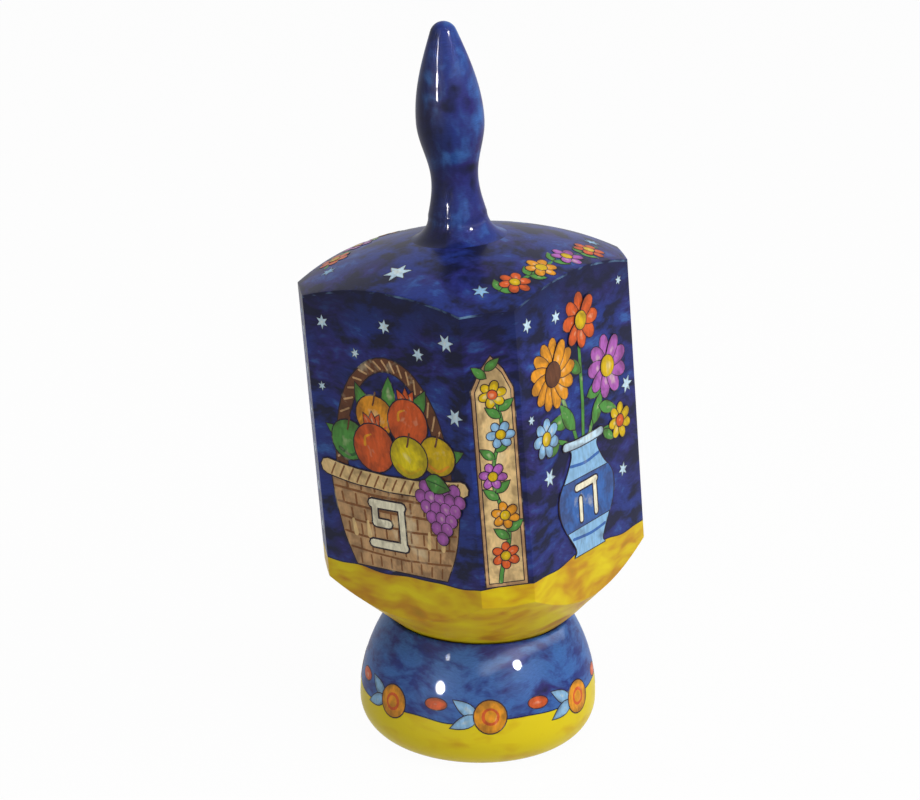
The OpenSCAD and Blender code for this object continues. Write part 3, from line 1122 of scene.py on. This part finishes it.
def paint_jug(picture):
    """Clay oil jug between olive branches"""
    night_stars(picture, [(-20, 57), (-8, 54), (8, 57), (20, 54), (0, 46), (-12, 46), (13, 45)])
    for side in (-1, 1):
        sprig(picture, [(13 * side, FOOT), (18.5 * side, 8), (18 * side, 22), (12 * side, 38)], 6, 6)
        for x, y in ((16.5, 4), (16.5, 19), (18.5, 29), (12.0, 33)):
            picture.add(disc(x * side, y, 1.7, count=14), "deep_green", ink=0.2)
    handle = curve_through([(4.5, 30), (10.5, 30.5), (13.5, 25), (11, 18.5)], 8)
    picture.mark(handle, 2.4, "brown", ink=INK_LINE)
    clay = [(FOOT, 7), (FOOT + 1.5, 7.2), (2, 12.5), (9, 14.2), (16, 12.4), (21.5, 7), (26, 4.4), (32, 5)]
    picture.add(vessel(clay), "tan")
    picture.mark(curve_through([(-6.6, 32.6), (0, 32.0), (6.0, 32.4)]), 2.2, "sand", ink=0.3)
    for y, w in ((18.2, 10.4), (-2.0, 9.2)):
        band = [(-w, y + 0.6), (-w / 2, y - 0.1), (0, y - 0.4), (w / 2, y - 0.1), (w, y + 0.6)]
        picture.mark(curve_through(band), 1.1, "brown")
    for i in range(7):
        x = -8.4 + 2.8 * i
        picture.add(disc(x, 20.6 - 0.02 * x * x - abs(x) * 0.02, 0.6, count=10), "red_orange", ink=0)
    picture.mark(curve_through([(-10.5, 4), (-11.6, 9), (-10, 14)]), 1.3, "sand", end_width=0.7)
    letter(picture, "nun", 0, 8.2, 12)


def paint_garland(picture):
    """Climbing stem with open flowers, one above another"""

    def stem(y):
        return 1.5 * math.sin(y / 4.5)

    panel = [(-5.2, FOOT), (5.2, FOOT), (5.2, 44), (2.8, 49), (0, 52.5), (-2.8, 49), (-5.2, 44)]
    picture.add(panel, "tan")
    low = FOOT + 0.9
    inner = [(-4.3, low), (4.3, low), (4.3, 43.7), (2.3, 48), (0, 50.8), (-2.3, 48), (-4.3, 43.7)]
    picture.add(inner, "sand", ink=0.25)
    line = curve_through([(stem(y), y) for y in range(round(FOOT) + 1, 47, 3)], 4)
    picture.mark(line, 0.9, "green", ink=0.18, end_width=0.6)
    for i, paint in enumerate(["red_orange", "amber", "magenta", "light_blue", "golden"]):
        y = FOOT + 8 + 10.5 * i
        for side, lift in ((-1, 4.4), (1, 6.2)):
            picture.add(leaf(stem(y + lift), y + lift, 4.6, 2.2, 90 - side * 52), "green", ink=0.2)
        heart = "red_orange" if paint == "golden" else "golden"
        flower(picture, stem(y), y, 3.5, 6, paint, heart, 90 + 11 * i)


def paint_star_column(picture):
    """Stars one above another, between small dots"""
    for i in range(6):
        y = FOOT + 7 + 10.5 * i
        picture.add(star(0, y, 2.6, 1.1, 90 + 15 * i), "pale_blue", ink=0.2)
        picture.add(disc(0, y + 5.2, 0.9, count=12), "light_blue", ink=0.15)


# Each picture with the direction that its face or planed edge looks in
FACE_PICTURES = {
    "picture_left_front": (-90, paint_basket),
    "picture_right_front": (0, paint_vase),
    "picture_right_back": (90, paint_lamp),
    "picture_left_back": (180, paint_jug),
}
EDGE_PICTURES = {
    "garland_front": (-45, paint_garland),
    "star_column_right": (45, paint_star_column),
    "garland_back": (135, paint_garland),
    "star_column_left": (225, paint_star_column),
}

# Distances of the stars on the turned top from its axis, the sides of the top that have a garland
# instead of a large star, and the garland's path on the side that looks to +X, in millimetres
DOME_STAR_R = 26
CORNER_STAR_R = 34
GARLANDED = (0, 180)
CROWN_GARLAND = [(27.5, -21), (29.4, -11), (28.8, 0), (29.4, 11), (27.5, 21)]

# Flowers round the stand, and how high their middles are above its widest place, in millimetres
STAND_REPEATS = 7
STAND_FLOWER_Y = 6.4


def paint_crown_garland(picture, azimuth):
    """Small flowers and leaves on a stem along one side of the turned top"""
    turn = Matrix.Rotation(math.radians(azimuth), 2)
    line = [turn @ point for point in curve_through(CROWN_GARLAND)]
    picture.mark(line, 0.9, "green", ink=0.18)
    for at in line[:-1:6]:
        for heading in (38, 142):
            picture.add(leaf(*at, 4.4, 2.2, azimuth + heading), "green", ink=0.2)
    for at, paint in zip(line[3::6], ["red_orange", "amber", "magenta", "red_orange"]):
        flower(picture, *at, 4.1, 6, paint, "golden", azimuth)


def paint_crown(picture):
    """Garlands, stars between them and a small star at each corner of the turned top"""
    for azimuth in FACES:
        if azimuth in GARLANDED:
            paint_crown_garland(picture, azimuth)
        else:
            at = outward(azimuth) * DOME_STAR_R
            picture.add(star(at.x, at.y, 3.6, 1.7, azimuth), "pale_blue", ink=0.25)
    for azimuth in PLANED_EDGES:
        at = outward(azimuth) * CORNER_STAR_R
        picture.add(star(at.x, at.y, 2.2, 1.0, azimuth), "light_blue", ink=0.2)


def paint_stand_ring(picture, belly_r):
    """Ring of flowers, each with two leaves and a bud, drawn along the stand's widest circle"""
    pitch = 2 * math.pi * belly_r / STAND_REPEATS
    y = STAND_FLOWER_Y
    for i in range(STAND_REPEATS):
        x = pitch * (i + 0.62 - STAND_REPEATS / 2)
        for heading in (150, 205):
            picture.add(leaf(x - 3.2, y, 8.0, 3.2, heading), "light_blue", ink=0.28)
        picture.add(disc(x, y, 4.3), "amber")
        picture.add(disc(x, y, 2.4, count=16), "red_orange", ink=0)
        picture.add(disc(x, y, 1.6, count=14), "amber", ink=0)
        picture.add(disc(x + pitch / 2 - 0.6, y + 2.4, 3.0, 0.5), "red_orange", ink=0.28)


class DREIDEL_OT_block(bpy.types.Operator):
    """Turns both domes of the block, then planes its four faces and four edges"""

    bl_idname = "dreidel.block"
    bl_label = "Block"

    def execute(self, context):
        sizes, form, colours = working_values(context)
        block = turn_on_lathe("block", block_outline(sizes, form))
        for azimuth in FACES:
            plane_off(block, azimuth, sizes.block_width / 2)
        for azimuth in PLANED_EDGES:
            plane_off(block, azimuth, form.planed_distance)
        soften_edges(block, sizes.edge_softness, inside_r=form.foot_r * CRISP_REACH)
        # The crown gives the dark band and the pale painted highlight under the turned top
        crown = (form.crown_c, form.crown_r)
        paint = painted_sky(
            "block_acrylic", form.own, colours, BLOCK_LIFT, ground=BLOCK_GROUND, crown=crown, haze=BRUSHED
        )
        finish_turned(block, form.own, paint)
        shown(block, "dreidel", "block_paint", "body")
        return {"FINISHED"}


class DREIDEL_OT_grip(bpy.types.Operator):
    """Turns the finger grip with its tenon"""

    bl_idname = "dreidel.grip"
    bl_label = "Finger grip"

    def execute(self, context):
        sizes, form, colours = working_values(context)
        grip = turn_on_lathe("finger_grip", grip_outline(sizes, form), steps=64)
        # The brushwork is turned so that its pale strokes paint light on the grip's lit side
        strokes = form.own @ Matrix.Rotation(GRIP_STROKES, 4, "Z")
        # Painted shade deepens the sky on the grip's unlit side
        paint = painted_sky(
            "grip_acrylic", strokes, colours, GRIP_LIFT, GRIP_STRETCH, shaded_side=GRIP_SHADED_SIDE
        )
        finish_turned(grip, form.own, paint)
        shown(grip, "dreidel", "grip_paint", "handle")
        return {"FINISHED"}


class DREIDEL_OT_tip(bpy.types.Operator):
    """Turns the spinning tip with its peg"""

    bl_idname = "dreidel.tip"
    bl_label = "Spinning tip"

    def execute(self, context):
        sizes, form, colours = working_values(context)
        tip = turn_on_lathe("spinning_tip", tip_outline(sizes, form), steps=48)
        finish_turned(tip, form.own, brushed_film("tip_golden", colours.golden, form.own))
        shown(tip, "tip", "tip_paint", "spin_tip")
        return {"FINISHED"}


class DREIDEL_OT_stand(bpy.types.Operator):
    """Turns the cup stand"""

    bl_idname = "dreidel.stand"
    bl_label = "Cup stand"

    def execute(self, context):
        sizes, form, colours = working_values(context)
        stand = turn_on_lathe("cup_stand", stand_outline(sizes, form))
        upright = Matrix.Identity(4)
        paint = painted_sky("stand_acrylic", upright, colours, STAND_LIFT, ground=STAND_GROUND)
        finish_turned(stand, upright, paint)
        shown(stand, "stand", "stand_paint", "stand")
        return {"FINISHED"}


class DREIDEL_OT_face_pictures(bpy.types.Operator):
    """Paints a picture and a letter on each broad face, and a garland or stars on each planed edge"""

    bl_idname = "dreidel.face_pictures"
    bl_label = "Pictures on the faces"

    def execute(self, context):
        sizes, form, colours = working_values(context)
        films = film_paints(form.own, colours)
        self.lay_on(form, films, FACE_PICTURES, sizes.block_width / 2)
        self.lay_on(form, films, EDGE_PICTURES, form.planed_distance)
        return {"FINISHED"}

    def lay_on(self, form, films, pictures, distance):
        """Draws each picture and lays it on its upright flat, with x to the right and y up"""
        for name, (azimuth, painter) in pictures.items():
            picture = Picture(name, films)
            painter(picture)
            out = outward(azimuth)
            turned = Matrix((outward(azimuth + 90), (0, 0, 1), out)).transposed().to_4x4()
            piece = picture.finish(form.own @ Matrix.Translation(out * distance) @ turned)
            shown(piece, "dreidel", "block_paint")


class DREIDEL_OT_dome_stars(bpy.types.Operator):
    """Paints garlands and stars on the turned top"""

    bl_idname = "dreidel.dome_stars"
    bl_label = "Garlands and stars on the top"

    def execute(self, context):
        sizes, form, colours = working_values(context)
        picture = Picture("dome_stars", film_paints(form.own, colours))
        paint_crown(picture)

        def on_crown(corner):
            rise = drop_from(form.crown_r / MM + corner.z, corner.xy.length)
            return Vector((corner.x, corner.y, form.crown_c / MM + rise))

        shown(picture.finish(form.own, on_crown), "dreidel", "block_paint")
        return {"FINISHED"}


class DREIDEL_OT_stand_flowers(bpy.types.Operator):
    """Paints a ring of flowers, leaves and buds round the stand"""

    bl_idname = "dreidel.stand_flowers"
    bl_label = "Flowers on the stand"

    def execute(self, context):
        sizes, form, colours = working_values(context)
        upright = Matrix.Identity(4)
        picture = Picture("stand_flowers", film_paints(upright, colours, "stand_"))
        belly_r, belly_z = form.belly_r / MM, sizes.belly_height / MM
        side = (form.side_r / MM, form.side_c / MM)
        foot = (belly_z, belly_r - belly_z)
        paint_stand_ring(picture, belly_r)

        def on_side(corner):
            bend_r, bend_c = side if corner.y > 0 else foot
            slope = corner.y / bend_r
            r = bend_c + (bend_r + corner.z) * math.cos(slope)
            a = corner.x / belly_r - math.pi / 2
            z = belly_z + (bend_r + corner.z) * math.sin(slope)
            return Vector((r * math.cos(a), r * math.sin(a), z))

        shown(picture.finish(upright, on_side), "stand", "stand_paint")
        return {"FINISHED"}


# The camera stands in front at the photograph's viewing angle. Angles are in degrees and distances in
# metres. The focal length is in pixels of the frame, and the sensor's width in millimetres.
CAMERA_DISTANCE = 0.705
CAMERA_ELEVATION = 18
CAMERA_AIM_Z = 0.09194
CAMERA_PAN = 0.46
CAMERA_ROLL = 0.8
FOCAL_PIXELS = 2719
FRAME_WIDTH = 920
SENSOR = 36

# Each lamp: the side that it stands on, its height as an angle, its distance, width and height in metres,
# its power in watts, the height that it looks at and how wide it spreads, as an angle.
# The soft lamps light the paint and stay out of the reflections.
SOFT_LAMPS = {
    "softbox_right": (76, 30, 0.9, 0.5, 0.5, 2.8, 0.09, 180),
    "lamp_front": (44, 24, 0.95, 0.3, 0.3, 1.8, 0.09, 180),
    "lamp_above": (12, 64, 1.1, 0.6, 0.6, 4.6, 0.09, 180),
}
# The small bright lamps show as reflections in the varnish and add no light to the paint
GLINT_LAMPS = {
    "glint_stand_left": (-37, 10, 0.6, 0.10, 0.10, 0.06, 0.022, 12),
    "glint_stand_left_high": (-36, 31, 0.6, 0.05, 0.05, 0.0015, 0.030, 12),
    "glint_stand_right": (44, 25, 0.6, 0.09, 0.07, 0.05, 0.022, 12),
    "glint_grip_low": (-40, 5, 0.6, 0.07, 0.09, 0.012, 0.185, 10),
    "glint_grip_middle": (-41, 13, 0.6, 0.07, 0.09, 0.03, 0.185, 10),
    "glint_grip_high": (-44, 21, 0.6, 0.06, 0.09, 0.006, 0.185, 10),
    "glint_grip_right": (49, 37, 0.6, 0.14, 0.10, 0.08, 0.180, 14),
}
# Dim lamps on an arc, whose reflections join to a pale band along the upper right of the stand: the
# sides that they stand on, the side and height of the arc's top, and its fall at a given way from it
BAND_SIDES = range(8, 119, 10)
BAND_TOP = (48, 32)
BAND_FALL, BAND_REACH = 14, 64
BAND_LAMP = (0.6, 0.22, 0.12, 0.007, 0.030, 22)
# Radius of the floor in metres, and how white it looks where no shadow falls
FLOOR_R = 4.0
FLOOR_WHITE = 0.97


def seen_rays(tree):
    """One for rays that show the background to the eye: straight, mirrored or through glass; else zero"""
    path = add_node(tree, "LightPath")
    mirrored = {0: path["Is Glossy Ray"], 1: path["Is Transmission Ray"]}
    mirrored = add_node(tree, "Math", mirrored, operation="MAXIMUM")["Value"]
    return add_node(tree, "Math", {0: path["Is Camera Ray"], 1: mirrored}, operation="MAXIMUM")["Value"]


class DREIDEL_OT_stage(bpy.types.Operator):
    """Sets out the pale floor, the soft light and the camera"""

    bl_idname = "dreidel.stage"
    bl_label = "Floor, lamps and camera"

    def execute(self, context):
        self.lay_floor(context.scene.dreidel_stage)
        self.light_sky(context)
        for name, values in SOFT_LAMPS.items():
            self.hang_lamp(name, *values).visible_glossy = False
        for name, values in GLINT_LAMPS.items():
            self.hang_lamp(name, *values).visible_diffuse = False
        top_side, top_height = BAND_TOP
        for azimuth in BAND_SIDES:
            elevation = top_height - BAND_FALL * ((azimuth - top_side) / BAND_REACH) ** 2
            lamp = self.hang_lamp(f"glint_band_{azimuth}", azimuth, elevation, *BAND_LAMP)
            lamp.visible_diffuse = False
        self.set_camera(context)
        context.scene.view_settings.view_transform = "Standard"
        return {"FINISHED"}

    def lay_floor(self, stage):
        """Lays a wide round sheet of pale card, which looks white and still takes the object's shadow"""
        deselect_all()
        bpy.ops.mesh.primitive_circle_add(vertices=96, radius=FLOOR_R, fill_type="NGON")
        floor = bpy.context.object
        floor.name = "floor"
        card = new_material("pale_card")
        tree = card.node_tree
        matt = add_node(tree, "BsdfDiffuse", {"Color": stage.backdrop})["BSDF"]
        white = add_node(tree, "Emission", {"Color": (1, 1, 1, 1), "Strength": 1.0})["Emission"]
        share = add_node(tree, "Math", {0: seen_rays(tree), 1: FLOOR_WHITE}, operation="MULTIPLY")["Value"]
        surface = add_node(tree, "MixShader", {0: share, 1: matt, 2: white})["Shader"]
        add_node(tree, "OutputMaterial", {"Surface": surface})
        floor.data.materials.append(card)

    def light_sky(self, context):
        """Lights the room evenly; the camera sees the same white as the card's"""
        stage = context.scene.dreidel_stage
        world = bpy.data.worlds.new("room")
        context.scene.world = world
        world.use_nodes = True
        tree = world.node_tree
        tree.nodes.clear()
        seen = {"Value": seen_rays(tree), "To Min": stage.sky_strength, "To Max": 1.0}
        strength = add_node(tree, "MapRange", seen)["Result"]
        light = add_node(tree, "Background", {"Color": stage.sky, "Strength": strength})["Background"]
        add_node(tree, "OutputWorld", {"Surface": light})

    def hang_lamp(self, name, azimuth, elevation, distance, width, height, power, aim_z, spread):
        """Hangs a rounded lamp that looks at a height on the stand's axis"""
        a, e = math.radians(azimuth), math.radians(elevation)
        away = Vector((math.sin(a) * math.cos(e), -math.cos(a) * math.cos(e), math.sin(e)))
        bpy.ops.object.light_add(type="AREA", location=Vector((0, 0, aim_z)) + away * distance)
        lamp = bpy.context.object
        lamp.name = name
        lamp.rotation_euler = away.to_track_quat("Z", "Y").to_euler()
        lamp.data.shape = "ELLIPSE"
        lamp.data.size = width
        lamp.data.size_y = height
        lamp.data.energy = power
        lamp.data.spread = math.radians(spread)
        return lamp

    def set_camera(self, context):
        """Puts the camera where the photograph was taken from"""
        e = math.radians(CAMERA_ELEVATION)
        back = Vector((0, -math.cos(e), math.sin(e)))
        bpy.ops.object.camera_add(location=Vector((0, 0, CAMERA_AIM_Z)) + back * CAMERA_DISTANCE)
        camera = bpy.context.object
        camera.name = "camera"
        level = back.to_track_quat("Z", "Y").to_matrix().to_4x4()
        pan = Matrix.Rotation(math.radians(CAMERA_PAN), 4, "Y")
        roll = Matrix.Rotation(math.radians(CAMERA_ROLL), 4, "Z")
        camera.rotation_euler = (level @ pan @ roll).to_euler()
        camera.data.sensor_width = SENSOR
        camera.data.lens = FOCAL_PIXELS * SENSOR / FRAME_WIDTH
        context.scene.camera = camera


OPERATORS = [
    DREIDEL_OT_stage,
    DREIDEL_OT_stand,
    DREIDEL_OT_block,
    DREIDEL_OT_grip,
    DREIDEL_OT_tip,
    DREIDEL_OT_face_pictures,
    DREIDEL_OT_dome_stars,
    DREIDEL_OT_stand_flowers,
]
GROUPS = {"dreidel_sizes": DreidelSizes, "dreidel_colours": DreidelColours, "dreidel_stage": StageSettings}


class DREIDEL_PT_panel(bpy.types.Panel):
    """Buttons and settings of the dreidel"""

    bl_idname = "DREIDEL_PT_panel"
    bl_label = "Painted dreidel"
    bl_space_type = "VIEW_3D"
    bl_region_type = "UI"
    bl_category = "Dreidel"

    def draw(self, context):
        for operator in OPERATORS:
            self.layout.operator(operator.bl_idname)
        for name, group in GROUPS.items():
            box = self.layout.box()
            for key in group.__annotations__:
                box.prop(getattr(context.scene, name), key)


CLASSES = [*GROUPS.values(), *OPERATORS, DREIDEL_PT_panel]


def register():
    """Adds the settings, the operators and the panel to Blender"""
    for cls in CLASSES:
        bpy.utils.register_class(cls)
    for name, group in GROUPS.items():
        setattr(bpy.types.Scene, name, bpy.props.PointerProperty(type=group))


def unregister():
    """Takes them out again"""
    for name in GROUPS:
        delattr(bpy.types.Scene, name)
    for cls in reversed(CLASSES):
        bpy.utils.unregister_class(cls)


def main():
    """Builds the dreidel piece by piece"""
    register()
    for operator in OPERATORS:
        group, name = operator.bl_idname.split(".")
        getattr(getattr(bpy.ops, group), name)()
    deselect_all()


if __name__ == "__main__":
    main()
